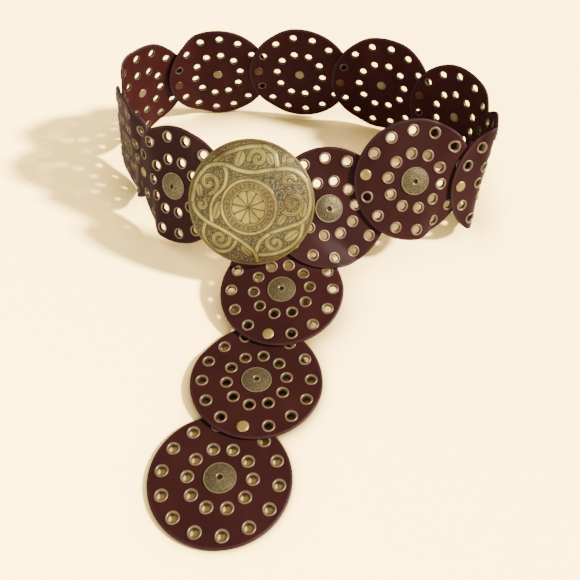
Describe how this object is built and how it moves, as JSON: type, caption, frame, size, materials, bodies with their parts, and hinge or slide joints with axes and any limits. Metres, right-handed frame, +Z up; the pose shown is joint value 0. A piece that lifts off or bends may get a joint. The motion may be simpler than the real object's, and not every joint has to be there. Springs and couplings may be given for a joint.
{
  "type": "concho belt",
  "caption": "Concho belt of round leather discs riveted edge over edge, each with eyelet rings and a brass concho, closed by a domed round buckle with a hanging tail.",
  "frame": {"origin": "below the middle of the belt's box, on the surface it stands on", "axes": "+Z up, the tail points towards -Y, +X to the right seen from the tail"},
  "size_m": [0.3364, 0.468, 0.113],
  "materials": {
    "leather": "smooth dark burgundy leather, soft satin sheen, darker raw edges",
    "concho": "stamped antique brass, dark in the grain",
    "rivet": "pale polished brass",
    "buckle": "engraved antique brass, dark in the cuts, satin on the high places"
  },
  "bodies": {
    "root": {"disc_01": "leather", "disc_02": "leather", "disc_03": "leather", "disc_04": "leather", "disc_05": "leather", "disc_06": "leather", "disc_07": "leather", "disc_08": "leather", "disc_09": "leather", "disc_10": "leather", "disc_11": "leather", "disc_12": "leather", "disc_13": "leather", "concho_01": "concho", "concho_02": "concho", "concho_03": "concho", "concho_04": "concho", "concho_05": "concho", "concho_06": "concho", "concho_07": "concho", "concho_08": "concho", "concho_09": "concho", "concho_10": "concho", "concho_11": "concho", "concho_12": "concho", "concho_13": "concho", "rivet_01": "rivet", "rivet_02": "rivet", "rivet_03": "rivet", "rivet_04": "rivet", "rivet_05": "rivet", "rivet_06": "rivet", "rivet_07": "rivet", "rivet_08": "rivet", "rivet_09": "rivet", "rivet_10": "rivet", "rivet_11": "rivet", "rivet_12": "rivet", "buckle_plate": "buckle", "buckle_hook": "buckle"}
  },
  "joints": []
}
